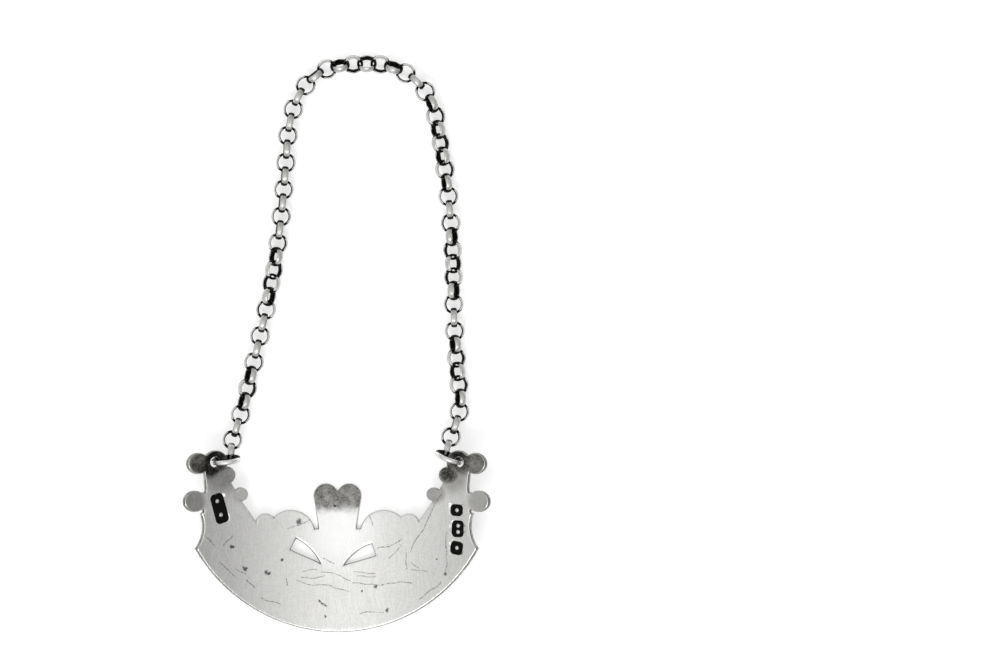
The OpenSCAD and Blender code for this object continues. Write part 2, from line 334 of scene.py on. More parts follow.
class StageSettings(bpy.types.PropertyGroup):
    """Table, lamp and camera."""

    table: FloatVectorProperty(
        name="Table", description="Colour of the table", subtype="COLOR", default=(0.9, 0.9, 0.9)
    )
    pixel: FloatProperty(
        name="Pixel", description="Size of one pixel on the table", default=0.000178, unit="LENGTH"
    )
    image_width: IntProperty(name="Image width", description="Width of the image in pixels", default=1000)
    aim_x: FloatProperty(
        name="Aim across", description="Where the camera looks, from the plate's middle", default=0.0289,
        unit="LENGTH",
    )
    aim_y: FloatProperty(
        name="Aim up", description="Where the camera looks, from the plate's foot", default=0.0532,
        unit="LENGTH",
    )
    lens: FloatProperty(name="Lens", description="Focal length in millimetres", default=300, unit="CAMERA")
    shine: FloatProperty(
        name="Shine", description="Light that the table adds to what it reflects", default=0.42
    )
    lamp_size: FloatProperty(
        name="Lamp size", description="Diameter of the soft box", default=0.4, unit="LENGTH"
    )
    lamp_power: FloatProperty(
        name="Lamp power", description="Power of the soft box", default=2.0, unit="POWER"
    )
    lamp_place: FloatVectorProperty(
        name="Lamp place", description="Where the soft box stands", subtype="TRANSLATION",
        default=(-0.12, -0.55, 0.8),
    )


def make_active(obj):
    """Selects one object alone."""
    if bpy.context.mode != "OBJECT":
        bpy.ops.object.mode_set(mode="OBJECT")
    bpy.ops.object.select_all(action="DESELECT")
    obj.select_set(True)
    bpy.context.view_layer.objects.active = obj


def edit_all(obj):
    """Opens an object in edit mode with everything selected."""
    make_active(obj)
    bpy.ops.object.mode_set(mode="EDIT")
    bpy.ops.mesh.select_all(action="SELECT")


def close_edit():
    """Goes back to object mode."""
    bpy.ops.object.mode_set(mode="OBJECT")


def deselect_mesh(mesh):
    """Leaves nothing of a mesh selected."""
    for elements in (mesh.vertices, mesh.edges, mesh.polygons):
        elements.foreach_set("select", [False] * len(elements))


def merged_copy(node, name):
    """A copy of a CAD node's mesh with its loose triangles joined."""
    mesh = frame["nodes"][node].data.copy()
    mesh.materials.clear()
    copy = bpy.data.objects.new(name, mesh)
    bpy.context.scene.collection.objects.link(copy)
    edit_all(copy)
    bpy.ops.mesh.remove_doubles(threshold=SAME_POINT)
    close_edit()
    return copy


def apply_modifier(obj, kind, **settings):
    """Adds a modifier to an object and applies it."""
    make_active(obj)
    modifier = obj.modifiers.new(kind.title(), kind)
    for key, value in settings.items():
        setattr(modifier, key, value)
    bpy.ops.object.modifier_apply(modifier=modifier.name)


def points_of(mesh):
    """The places of a mesh's vertices as an array."""
    flat = np.zeros(3 * len(mesh.vertices))
    mesh.vertices.foreach_get("co", flat)
    return flat.reshape(-1, 3)


def place_points(mesh, points):
    """Moves a mesh's vertices to new places."""
    mesh.vertices.foreach_set("co", points.ravel())
    mesh.update()


def add_node(tree, kind, inputs=None, out=0, **settings):
    """Adds a node, sets or links its inputs and returns one of its outputs."""
    node = tree.nodes.new(kind)
    for key, value in settings.items():
        setattr(node, key, value)
    for key, value in (inputs or {}).items():
        if isinstance(value, bpy.types.NodeSocket):
            tree.links.new(value, node.inputs[key])
        else:
            node.inputs[key].default_value = value
    return node.outputs[out]


def group_mask(tree, name, out="Mask", **inputs):
    """Places a shared node group with its own values and returns one of its outputs."""
    return add_node(tree, "ShaderNodeGroup", inputs, out, node_tree=shared_group(name))


def calc(tree, operation, first, second=0.0, clamp=False):
    """A number worked out from one or two others."""
    return add_node(tree, "ShaderNodeMath", {0: first, 1: second}, operation=operation, use_clamp=clamp)


def vector_calc(tree, operation, first, second=(0, 0, 0), out=0):
    """A vector worked out from one or two others, or with out=1 a number."""
    return add_node(tree, "ShaderNodeVectorMath", {0: first, 1: second}, out, operation=operation)


def scaled(tree, vector, factor):
    """A vector made longer or shorter."""
    return add_node(tree, "ShaderNodeVectorMath", {0: vector, "Scale": factor}, operation="SCALE")


def split(tree, vector):
    """The sockets of a vector's three parts, by name."""
    node = tree.nodes.new("ShaderNodeSeparateXYZ")
    tree.links.new(vector, node.inputs[0])
    return node.outputs


def blend_colour(tree, share, first, second):
    """Mixes two colours, given as sockets or as three numbers."""
    colours = [c if isinstance(c, bpy.types.NodeSocket) else (*c, 1) for c in (first, second)]
    return add_node(
        tree, "ShaderNodeMix", {0: share, 6: colours[0], 7: colours[1]}, 2, data_type="RGBA"
    )


def ease(tree, value, low, high, to_low=0.0, to_high=1.0):
    """Maps a value from low and high onto two others, with soft ends."""
    return add_node(
        tree, "ShaderNodeMapRange",
        {"Value": value, "From Min": low, "From Max": high, "To Min": to_low, "To Max": to_high},
        interpolation_type="SMOOTHSTEP",
    )


def noise(tree, place, scale, detail, roughness=0.5):
    """Soft noise from 0 to 1."""
    return add_node(
        tree, "ShaderNodeTexNoise",
        {"Vector": place, "Scale": scale, "Detail": detail, "Roughness": roughness},
    )


def drifted(tree, place, drift):
    """A place moved about by noise, so that straight lines bend."""
    waves = {"Vector": place, "Scale": drift.scale, "Detail": 1.0}
    move = add_node(tree, "ShaderNodeTexNoise", waves, "Color")
    move = vector_calc(tree, "SUBTRACT", move, (0.5, 0.5, 0.5))
    move = vector_calc(tree, "MULTIPLY", move, (drift.reach, drift.reach, 0.0))
    return vector_calc(tree, "ADD", place, move)


def blend_value(tree, share, first, second):
    """Mixes two numbers."""
    return add_node(tree, "ShaderNodeMix", {0: share, 2: first, 3: second}, 0, data_type="FLOAT")


def new_group(name, inputs, outputs):
    """A shader node group with named sockets, and its two end nodes' sockets."""
    group = bpy.data.node_groups.new(name, "ShaderNodeTree")
    for socket, kind in inputs:
        group.interface.new_socket(socket, in_out="INPUT", socket_type="NodeSocket" + kind)
    for socket, kind in outputs:
        group.interface.new_socket(socket, in_out="OUTPUT", socket_type="NodeSocket" + kind)
    start = group.nodes.new("NodeGroupInput").outputs
    end = group.nodes.new("NodeGroupOutput").inputs
    return group, start, end


def scratch_group():
    """Mask of one straight scratch between two places."""
    group, start, end = new_group(
        "Scratch", [("Place", "Vector"), ("Start", "Vector"), ("End", "Vector"), ("Width", "Float")],
        [("Mask", "Float")],
    )
    run = vector_calc(group, "SUBTRACT", start["End"], start["Start"])
    away = vector_calc(group, "SUBTRACT", start["Place"], start["Start"])
    along = calc(
        group, "DIVIDE", vector_calc(group, "DOT_PRODUCT", away, run, 1),
        vector_calc(group, "DOT_PRODUCT", run, run, 1), clamp=True,
    )
    gap = vector_calc(group, "DISTANCE", away, scaled(group, run, along), 1)
    group.links.new(ease(group, gap, start["Width"], 0.0), end["Mask"])
    return group


def spot_group():
    """Mask of one soft round spot."""
    group, start, end = new_group(
        "Spot", [("Place", "Vector"), ("Middle", "Vector"), ("Radius", "Float"), ("Core", "Float")],
        [("Mask", "Float")],
    )
    gap = vector_calc(group, "DISTANCE", start["Place"], start["Middle"], 1)
    core = calc(group, "MULTIPLY", start["Radius"], start["Core"])
    group.links.new(ease(group, gap, start["Radius"], core), end["Mask"])
    return group


def rub_group():
    """Fine rubbing lines along the first axis of a place, from 0 to 1."""
    group, start, end = new_group(
        "Rubbing", [("Place", "Vector"), ("Stretch", "Float"), ("Scale", "Float")], [("Lines", "Float")]
    )
    squeeze = add_node(group, "ShaderNodeCombineXYZ", {0: start["Stretch"], 1: 1.0, 2: 1.0})
    place = vector_calc(group, "MULTIPLY", start["Place"], squeeze)
    lines = noise(group, place, start["Scale"], detail=3.0, roughness=0.65)
    group.links.new(ease(group, lines, 0.3, 0.7), end["Lines"])
    return group


def shared_group(name):
    """A node group that several materials use, built when it is first asked for."""
    makers = {"Scratch": scratch_group, "Spot": spot_group, "Rubbing": rub_group}
    return bpy.data.node_groups.get(name) or makers[name]()


def new_material(name):
    """A material with a plain metal shader, and the shader."""
    material = bpy.data.materials.new(name)
    material.use_nodes = True
    shader = material.node_tree.nodes["Principled BSDF"]
    shader.inputs["Metallic"].default_value = 1.0
    return material, material.node_tree, shader


def plate_place(tree):
    """Place on the plate in millimetres, from the middle of its foot."""
    coords = add_node(tree, "ShaderNodeTexCoord", out="Object")
    return scaled(tree, vector_calc(tree, "SUBTRACT", coords, (0, PLATE_FOOT, 0)), 1 / MM)


def sheet_depth(tree, place, settings):
    """Depth below the plate's back face in millimetres, measured square to the bent sheet."""
    axis = (0, 0, settings.bend_radius / MM)
    back = (settings.bend_radius - settings.thickness) / MM
    from_axis = vector_calc(tree, "MULTIPLY", vector_calc(tree, "SUBTRACT", place, axis), (1, 0, 1))
    return calc(tree, "SUBTRACT", vector_calc(tree, "LENGTH", from_axis, out=1), back)


def strongest(tree, masks):
    """The largest of several masks."""
    best = 0.0
    for mask in masks:
        best = calc(tree, "MAXIMUM", mask, best)
    return best


def spots(tree, flat, places):
    """The strongest of several soft round spots."""
    return strongest(tree, (
        calc(
            tree, "MULTIPLY", place.tone,
            group_mask(
                tree, "Spot", Place=flat, Middle=(place.x, place.y, 0), Radius=place.radius, Core=place.core
            ),
        )
        for place in places
    ))


def strokes(tree, place, width, runs):
    """The strongest of several straight strokes, each from one place to another."""
    return strongest(tree, (
        group_mask(tree, "Scratch", Place=place, Start=(*start, 0), End=(*end, 0), Width=width)
        for start, end in runs
    ))


def heart_painted_shade(tree, flat, uneven):
    """Painted shade on the heart's top, standing for a dark reflection, which fades downwards with a ragged
    edge.
    """
    parts = split(tree, flat)
    beside = ease(tree, calc(tree, "ABSOLUTE", parts["X"]), *HEART_SIDE)
    height = calc(tree, "ADD", parts["Y"], calc(tree, "MULTIPLY", uneven, HEART_MOTTLE))
    return calc(tree, "MULTIPLY", beside, ease(tree, height, *HEART_FADE, to_high=HEART_TONE))


def rim_shade_share(tree, flat, uneven):
    """How dark the painted shade along the edges is: faint on the arches between the arms, and broken
    elsewhere.
    """
    parts = split(tree, flat)
    between = ease(tree, calc(tree, "ABSOLUTE", parts["X"]), *ARCH_SIDE)
    arches = calc(tree, "MULTIPLY", between, ease(tree, parts["Y"], *ARCH_FOOT))
    broken = ease(tree, uneven, -0.2, 0.1, to_low=0.6)
    return calc(tree, "MULTIPLY", broken, ease(tree, arches, 0.0, 1.0, to_low=1.0, to_high=ARCH_RIM_SHADE))


def scratch_mask(tree, flat, specks):
    """Bent scratches of uneven strength."""
    scratches = strokes(tree, drifted(tree, flat, SCRATCH_DRIFT), SCRATCH_WIDTH, SCRATCHES)
    return calc(tree, "MULTIPLY", scratches, ease(tree, specks, 0.38, 0.62, to_low=0.15))


def pit_mask(tree, flat, specks):
    """Ragged pits and gouges."""
    ragged = drifted(tree, flat, PIT_DRIFT)
    pits = strongest(tree, (
        group_mask(tree, "Spot", Place=ragged, Middle=(*middle, 0), Radius=radius, Core=PIT_CORE)
        for middle, radius in PITS
    ))
    pits = calc(tree, "MAXIMUM", pits, strokes(tree, ragged, GOUGE_WIDTH, GOUGES))
    return calc(tree, "MULTIPLY", pits, ease(tree, specks, 0.35, 0.55, to_low=0.55, to_high=1.3), clamp=True)


def rubbing_lines(tree, place):
    """Fine lines across the plate and down it."""
    rubbed = drifted(tree, place, RUB_DRIFT)
    across = rubbing(tree, rubbed, RUB_ACROSS)
    down = rubbing(tree, vector_calc(tree, "CROSS_PRODUCT", rubbed, (0.0, 0.0, 1.0)), RUB_DOWN)
    return blend_value(tree, DOWN_SHARE, across, down)


def rubbing(tree, place, lines):
    """Fine lines along the first axis of a place."""
    return group_mask(tree, "Rubbing", "Lines", Place=place, Stretch=lines.stretch, Scale=lines.scale)


def plate_wear_and_painted_light(settings):
    """Silver of the plate: dark patches in the corners, painted shade on the heart's top and along the
    edges, a painted highlight below the heart, rubbing, scratches and pits on the back.
    """
    material, tree, shader = new_material("plate_silver_wear_and_painted_light")
    place = plate_place(tree)
    flat = vector_calc(tree, "MULTIPLY", place, (1, 1, 0))
    depth = sheet_depth(tree, place, settings)
    back = ease(tree, depth, *BACK_DEPTH)
    specks = noise(tree, place, scale=2.6, detail=4.0, roughness=0.65)
    uneven = calc(tree, "SUBTRACT", noise(tree, place, scale=0.7, detail=5.0, roughness=0.65), 0.5)
    # The dark patches and the painted shade on the heart's top, in one mask
    dark_patch_and_shade = calc(tree, "MAXIMUM", spots(tree, flat, DARK_PATCHES), heart_painted_shade(tree, flat, uneven))
    mottled = calc(tree, "MULTIPLY", uneven, DARKENING_MOTTLE)
    mottled = calc(tree, "ADD", mottled, ease(tree, specks, 0.3, 0.7, to_low=0.85, to_high=1.1))
    dark_patch_and_shade = calc(tree, "MULTIPLY", calc(tree, "MULTIPLY", dark_patch_and_shade, mottled), back, clamp=True)
    scratches = scratch_mask(tree, flat, specks)
    pits = pit_mask(tree, flat, specks)
    dust = ease(tree, noise(tree, place, scale=1.9, detail=5.0, roughness=0.7), 0.62, 0.76)
    pits = calc(tree, "MAXIMUM", pits, calc(tree, "MULTIPLY", dust, DUST_SHARE))
    dents = calc(tree, "MULTIPLY", pits, back)
    damage = calc(tree, "MAXIMUM", calc(tree, "MULTIPLY", scratches, back), dents)
    lines = rubbing_lines(tree, place)
    worn = blend_value(tree, SPECK_SHARE, lines, specks)
    dull = [DULL_SHARE * c for c in settings.silver]
    colour = blend_colour(tree, ease(tree, worn, 0.3, 0.7), dull, settings.silver)
    # Painted highlight below the heart, mottled
    bright = spots(tree, flat, [PAINTED_HIGHLIGHT])
    bright = calc(tree, "ADD", bright, calc(tree, "MULTIPLY", uneven, HIGHLIGHT_MOTTLE), clamp=True)
    colour = blend_colour(tree, bright, colour, settings.painted_highlight)
    # Darkens the dark patches and paints the shade on the heart's top
    colour = blend_colour(tree, dark_patch_and_shade, colour, settings.dark_patch_and_shade)
    ring_black = calc(tree, "MULTIPLY", spots(tree, flat, BLACK_BY_RINGS), mottled)
    black = calc(tree, "MULTIPLY", damage, DAMAGE_BLACK)
    black = calc(tree, "MAXIMUM", black, calc(tree, "MULTIPLY", ring_black, back), clamp=True)
    colour = blend_colour(tree, black, colour, settings.oxide)
    # Painted shade: a dark line along the sheet's edges, for the side wall and the gap to the table in shade
    rim = ease(tree, depth, *RIM_DEPTH, to_high=RIM_SHADE_TONE)
    colour = blend_colour(
        tree, calc(tree, "MULTIPLY", rim, rim_shade_share(tree, flat, uneven)), colour, settings.dark_patch_and_shade
    )
    rough = ease(tree, lines, 0.2, 0.8, to_low=0.26, to_high=0.36)
    rough = calc(tree, "ADD", rough, calc(tree, "MULTIPLY", dark_patch_and_shade, DARKENING_ROUGH))
    # A bump works out its height three times, and with the scratches in it the shader would be too large
    height = calc(tree, "SUBTRACT", calc(tree, "MULTIPLY", lines, LINE_HEIGHT), dents)
    normal = add_node(tree, "ShaderNodeBump", {"Strength": 0.6, "Distance": 0.00003, "Height": height})
    tree.links.new(colour, shader.inputs["Base Color"])
    tree.links.new(rough, shader.inputs["Roughness"])
    tree.links.new(normal, shader.inputs["Normal"])
    return material


def struck_recess(settings):
    """Black oxide in a struck recess, rubbed bright on the pellets."""
    material, tree, shader = new_material("struck_recess_oxide")
    place = plate_place(tree)
    depth = sheet_depth(tree, place, settings)
    floor = settings.mark_depth / MM
    grime = calc(tree, "SUBTRACT", noise(tree, place, scale=5.0, detail=3.0), 0.5)
    level = calc(tree, "ADD", depth, calc(tree, "MULTIPLY", grime, 0.12))
    black = ease(tree, level, 0.35 * floor, 0.75 * floor)
    tree.links.new(blend_colour(tree, black, settings.silver, settings.oxide), shader.inputs["Base Color"])
    rough = ease(tree, black, 0.0, 1.0, to_low=0.35, to_high=0.6)
    tree.links.new(rough, shader.inputs["Roughness"])
    return material


def wire_wear_and_painted_shade(name, settings, bright):
    """Silver wire, rubbed bright outside and oxidised black inside, with painted shade on its sides and
    hooks, streaked along the wire.
    """
    material, tree, shader = new_material(name)
    coords = add_node(tree, "ShaderNodeTexCoord", out="Object")
    place = scaled(tree, coords, 1 / MM)
    wire = add_node(tree, "ShaderNodeUVMap", uv_map="wire")
    patina_and_shade = add_node(tree, "ShaderNodeAttribute", out="Fac", attribute_name="patina_and_shade")
    streaks = rubbing(tree, wire, RUB_WIRE)
    blotches = noise(tree, place, scale=1.3, detail=4.0, roughness=0.65)
    ragged = calc(tree, "MULTIPLY", calc(tree, "SUBTRACT", blotches, 0.5), BLOTCH_EDGE)
    black = ease(tree, calc(tree, "ADD", patina_and_shade, ragged), *PATINA_AND_SHADE_EDGE)
    grey = calc(tree, "MULTIPLY", ease(tree, streaks, 0.1, 0.9), STREAK_SHARE)
    worn = blend_colour(tree, grey, bright, [STREAK_TONE * c for c in bright])
    tree.links.new(blend_colour(tree, black, worn, settings.oxide), shader.inputs["Base Color"])
    rough = ease(tree, streaks, 0.2, 0.8, to_low=0.24, to_high=0.38)
    rough = calc(tree, "ADD", rough, calc(tree, "MULTIPLY", black, BLACK_ROUGH))
    tree.links.new(rough, shader.inputs["Roughness"])
    height = calc(tree, "ADD", streaks, calc(tree, "MULTIPLY", blotches, BLOTCH_HEIGHT))
    normal = add_node(tree, "ShaderNodeBump", {"Strength": 0.5, "Distance": 0.00002, "Height": height})
    tree.links.new(normal, shader.inputs["Normal"])
    return material


def unroll(mesh, settings):
    """Lays the bent sheet out flat, front face down."""
    points = points_of(mesh)
    across, down = points[:, 0].copy(), settings.bend_radius - points[:, 2]
    points[:, 0] = np.arctan2(across, down) * settings.bend_radius
    points[:, 2] = settings.bend_radius - np.hypot(across, down)
    place_points(mesh, points)


def roll_up(mesh, settings):
    """Bends a flat sheet to its true round."""
    points = points_of(mesh)
    angle, radius = points[:, 0] / settings.bend_radius, settings.bend_radius - points[:, 2]
    points[:, 0] = radius * np.sin(angle)
    points[:, 2] = settings.bend_radius - radius * np.cos(angle)
    place_points(mesh, points)


def clear_sheet(obj, settings):
    """Leaves only the outline of a flat sheet, and a parting through each of its holes."""
    edit_all(obj)
    bpy.ops.mesh.remove_doubles(threshold=settings.weld)
    bpy.context.tool_settings.mesh_select_mode = (False, True, False)
    for x in PARTINGS:
        bpy.ops.mesh.select_all(action="SELECT")
        bpy.ops.mesh.bisect(plane_co=(x * MM, 0, 0), plane_no=(1, 0, 0), threshold=CUT_POINT)
        bpy.ops.mesh.mark_seam()
    bpy.ops.mesh.select_all(action="SELECT")
    bpy.ops.mesh.dissolve_limited(angle_limit=math.radians(STRAIGHT_TURN), delimit={"SEAM"})
    close_edit()


def untangle(mesh, reach=16, level=0.99):
    """Draws each small loop, where the outline of a level face crosses itself, together to one point."""
    for face in mesh.polygons:
        if abs(face.normal.z) < level:
            continue
        points = [mesh.vertices[v].co.copy() for v in face.vertices]
        count = len(points)
        for i in range(count):
            for step in range(min(reach, count - 3), 1, -1):
                ends = [points[k % count] for k in (i, i + 1, i + step, i + step + 1)]
                meet = intersect_line_line_2d(*(end.xy for end in ends))
                if meet:
                    for k in range(i + 1, i + step + 1):
                        points[k % count] = Vector((*meet, ends[0].z))
                    break
        for vertex, point in zip(face.vertices, points):
            mesh.vertices[vertex].co = point


def cut_strips(obj, settings):
    """Cuts a flat sheet into a grid, so that it bends smoothly."""
    edit_all(obj)
    bpy.ops.mesh.quads_convert_to_tris(quad_method="BEAUTY", ngon_method="BEAUTY")
    for axis in (0, 1):
        low, high = (pick(corner[axis] for corner in obj.bound_box) / settings.strip for pick in (min, max))
        for i in range(math.ceil(low), math.floor(high) + 1):
            place, normal = [0.0, 0.0, 0.0], [0.0, 0.0, 0.0]
            place[axis], normal[axis] = i * settings.strip, 1.0
            bpy.ops.mesh.select_all(action="SELECT")
            bpy.ops.mesh.bisect(plane_co=place, plane_no=normal, threshold=CUT_POINT)
    close_edit()


def back_pose(x, y, turn, settings):
    """Pose of a tool on the back of the flat sheet: its third axis points out of the back face."""
    angle = math.asin(x * MM / (settings.bend_radius - settings.thickness))
    place = Vector((angle * settings.bend_radius, PLATE_FOOT + y * MM, settings.thickness))
    return Matrix.Translation(place) @ Matrix.Rotation(math.radians(turn), 4, "Z")


def recess_tool(mark, settings, finish):
    """The punch that strikes one recess: a rounded block with a hollow for each pellet."""
    bpy.ops.object.select_all(action="DESELECT")
    bpy.ops.mesh.primitive_cube_add(size=1)
    tool = bpy.context.object
    edit_all(tool)
    bpy.ops.transform.resize(value=(mark.width * MM, mark.height * MM, 2 * settings.mark_depth))
    close_edit()
    make_active(tool)
    bpy.context.tool_settings.mesh_select_mode = (False, True, False)
    deselect_mesh(tool.data)
    for edge in tool.data.edges:
        ends = [tool.data.vertices[v].co for v in edge.vertices]
        edge.select = abs(ends[0].z - ends[1].z) > settings.mark_depth
    bpy.ops.object.mode_set(mode="EDIT")
    bpy.ops.mesh.bevel(offset=RECESS_CORNER * mark.width * MM, segments=6, affect="EDGES")
    close_edit()
    rise = PELLET_RISE * settings.mark_depth
    dome = (settings.pellet_radius ** 2 + rise ** 2) / (2 * rise)
    for place in mark.pellets:
        bpy.ops.object.select_all(action="DESELECT")
        bpy.ops.mesh.primitive_uv_sphere_add(
            segments=32, ring_count=64, radius=dome,
            location=(0, place * MM, rise - settings.mark_depth - dome),
        )
        hollow = bpy.context.object
        make_active(hollow)
        bpy.ops.object.transform_apply()
        apply_modifier(tool, "BOOLEAN", object=hollow, operation="DIFFERENCE", solver="EXACT")
        bpy.data.objects.remove(hollow)
    tool.data.materials.clear()
    tool.data.materials.append(finish)
    tool.data.transform(back_pose(mark.x, mark.y, mark.turn, settings))
    return tool


def ring_pose(points):
    """Middle and axis of a ring of wire, from its points."""
    middle = points.mean(axis=0)
    turn = np.linalg.eigh(np.cov((points - middle).T))[1]
    across = (points - middle) @ turn
    middle = middle + turn @ ((across.min(axis=0) + across.max(axis=0)) / 2)
    return Vector(middle), Vector(turn[:, 0])


def node_rings(node):
    """Middle and axis of every ring in a CAD node, from left to right."""
    copy = merged_copy(node, node + "_measure")
    edit_all(copy)
    bpy.ops.mesh.separate(type="LOOSE")
    close_edit()
    parts = list(bpy.context.selected_objects)
    poses = [ring_pose(points_of(part.data)) for part in parts]
    for part in parts:
        bpy.data.objects.remove(part)
    return sorted(poses, key=lambda pose: pose[0].x)


def chain_poses():
    """Every link from the left ring to the right ring: its node and the matrix that places it."""
    nodes = [*LEFT_LINKS, "chain_crown", *reversed(RIGHT_LINKS)]
    links = [(node, *pose) for node in nodes for pose in node_rings(node)]
    ends = [node_rings("left_ring")[0][0], node_rings("right_ring")[0][0]]
    middles = [ends[0], *[link[1] for link in links], ends[1]]
    poses = []
    for i, (node, middle, axis) in enumerate(links):
        along = middles[i + 2] - middles[i]
        poses.append((node, ring_matrix(middle, axis, along)))
    return poses


def ring_matrix(middle, axis, along):
    """Matrix with its third axis along a ring's axis and its first as near as can be to a direction."""
    first = (along - axis * along.dot(axis)).normalized()
    second = axis.cross(first)
    turn = Matrix((first, second, axis)).transposed()
    return Matrix.Translation(middle) @ turn.to_4x4()


def spun_ring(name, middle_radius, thickness, width, sides, steps):
    """A closed ring of oval wire round the third axis."""
    bpy.ops.object.select_all(action="DESELECT")
    bpy.ops.mesh.primitive_circle_add(
        vertices=sides, radius=width / 2, location=(middle_radius, 0, 0), rotation=(math.pi / 2, 0, 0)
    )
    ring = bpy.context.object
    ring.name = name
    bpy.ops.object.transform_apply()
    edit_all(ring)
    bpy.ops.transform.resize(value=(thickness / width, 1, 1), center_override=(middle_radius, 0, 0))
    bpy.ops.mesh.spin(steps=steps, angle=2 * math.pi, center=(0, 0, 0), axis=(0, 0, 1))
    bpy.ops.mesh.select_all(action="SELECT")
    bpy.ops.mesh.remove_doubles(threshold=SAME_POINT)
    bpy.ops.mesh.normals_make_consistent(inside=False)
    close_edit()
    return ring


def wrapped(angle):
    """An angle brought to within half a turn of zero."""
    return math.atan2(math.sin(angle), math.cos(angle))


def pinch_seam(ring, middle_radius, seam):
    """Scales the wire of a ring near one place round it, as at a closed seam."""
    angle = math.radians(seam.angle)
    middle = Vector((middle_radius * math.cos(angle), middle_radius * math.sin(angle), 0))
    deselect_mesh(ring.data)
    for vertex in ring.data.vertices:
        off = wrapped(math.atan2(vertex.co.y, vertex.co.x) - angle)
        vertex.select = abs(off) < math.radians(seam.reach)
    bpy.context.tool_settings.mesh_select_mode = (True, False, False)
    make_active(ring)
    bpy.ops.object.mode_set(mode="EDIT")
    bpy.ops.transform.resize(value=[seam.size] * 3, center_override=middle)
    close_edit()


def mark_wire(ring, middle_radius, thickness, hooks):
    """Stores where the wire is oxidised, with painted shade where a link hooks, and a map that runs along
    the wire and across it.
    """
    points = points_of(ring.data)
    reach = np.hypot(points[:, 0], points[:, 1])
    inside = (middle_radius - reach) / thickness + 0.5
    # Oxide with painted shade at the ends where a link hooks into its neighbours
    sheltered = hooks * np.clip((np.abs(points[:, 0]) / middle_radius - HOOK_START) / HOOK_GROWTH, 0, 1)
    patina_and_shade = ring.data.attributes.new("patina_and_shade", "FLOAT", "POINT")
    patina_and_shade.data.foreach_set("value", np.clip(inside * INSIDE_PATINA + sheltered, 0, 1).astype(np.float32))
    layer = ring.data.uv_layers.new(name="wire")
    for face in ring.data.polygons:
        middle = math.atan2(face.center.y, face.center.x)
        for loop in face.loop_indices:
            x, y, z = points[ring.data.loops[loop].vertex_index]
            off = wrapped(math.atan2(y, x) - middle)
            across = math.atan2(z, math.hypot(x, y) - middle_radius)
            layer.data[loop].uv = ((middle + off) * middle_radius / MM, across)


def set_in_place(master, pose, name, number):
    """A copy of a ring, put in its place, with its own part of the wire's streaks and painted shade on its
    sides as it lies.
    """
    piece = bpy.data.objects.new(name, master.data.copy())
    bpy.context.scene.collection.objects.link(piece)
    piece.data.transform(pose)
    piece.data.update()
    normals = np.zeros(3 * len(piece.data.vertices))
    piece.data.vertices.foreach_get("normal", normals)
    patina_and_shade = np.zeros(len(piece.data.vertices))
    piece.data.attributes["patina_and_shade"].data.foreach_get("value", patina_and_shade)
    # Painted shade: the sides of the wire as it lies at rest, darker the further they turn from up
    patina_and_shade += SIDE_SHADE * np.clip((SIDE_START - np.abs(normals[2::3])) / SIDE_GROWTH, 0, 1)
    piece.data.attributes["patina_and_shade"].data.foreach_set("value", np.clip(patina_and_shade, 0, 1))
    for loop in piece.data.uv_layers["wire"].data:
        loop.uv = (loop.uv[0] + STREAK_STEP[0] * number, loop.uv[1] + STREAK_STEP[1] * number)
    return piece


def finish_piece(piece, node, finish):
    """Gives a piece its finish and smooth shading, puts it on the body that it moves with, and hides its CAD
    node.
    """
    piece.data.materials.clear()
    piece.data.materials.append(finish)
    make_active(piece)
    bpy.ops.object.shade_smooth()
    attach(piece, BODY_OF[node])
    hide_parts(node)


class WINE_LABEL_OT_plate(bpy.types.Operator):
    """Make the bent plate with its worn edges and struck recesses"""

    bl_idname = "wine_label.plate"
    bl_label = "Bent plate"

    def execute(self, context):
        settings = context.scene.wine_label_plate
        silver = plate_wear_and_painted_light(settings)
        recess = struck_recess(settings)
        plate = merged_copy("label_plate", "plate")
        plate.data.materials.append(silver)
        unroll(plate.data, settings)
        clear_sheet(plate, settings)
        apply_modifier(
            plate, "BEVEL", width=settings.edge_round, segments=4, limit_method="ANGLE",
            angle_limit=math.radians(ROUNDED_TURN), use_clamp_overlap=False,
        )
        untangle(plate.data)
        edit_all(plate)
        bpy.ops.mesh.remove_doubles(threshold=CUT_POINT)
        close_edit()
        for mark in MARKS:
            tool = recess_tool(mark, settings, recess)
            apply_modifier(
                plate, "BOOLEAN", object=tool, operation="DIFFERENCE", solver="EXACT",
                material_mode="TRANSFER",
            )
            bpy.data.objects.remove(tool)
        cut_strips(plate, settings)
        roll_up(plate.data, settings)
        make_active(plate)
        bpy.ops.object.shade_smooth_by_angle(angle=math.radians(SHARP_TURN))
        apply_modifier(plate, "WEIGHTED_NORMAL", keep_sharp=True)
        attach(plate, "label_plate")
        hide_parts("label_plate")
        return {"FINISHED"}


class WINE_LABEL_OT_rings(bpy.types.Operator):
    """Make the two jump rings of round wire with their closed seams"""

    bl_idname = "wine_label.rings"
    bl_label = "Jump rings"

    def execute(self, context):
        settings = context.scene.wine_label_chain
        middle_radius = (settings.ring_outer - settings.ring_wire) / 2
        master = spun_ring(
            "ring_master", middle_radius, settings.ring_wire, settings.ring_wire, RING_SIDES,
            2 * settings.turns,
        )
        pinch_seam(master, middle_radius, RING_SEAM)
        mark_wire(master, middle_radius, settings.ring_wire, hooks=0.0)
        finish = wire_wear_and_painted_shade("ring_silver_wear_and_painted_shade", settings, settings.ring_silver)
        for number, body in enumerate(("left_ring", "right_ring")):
            middle, axis = node_rings(body)[0]
            pose = ring_matrix(middle, axis, Vector((0, 0, 1)))
            finish_piece(set_in_place(master, pose, body + "_wire", number), body, finish)
        bpy.data.objects.remove(master)
        return {"FINISHED"}


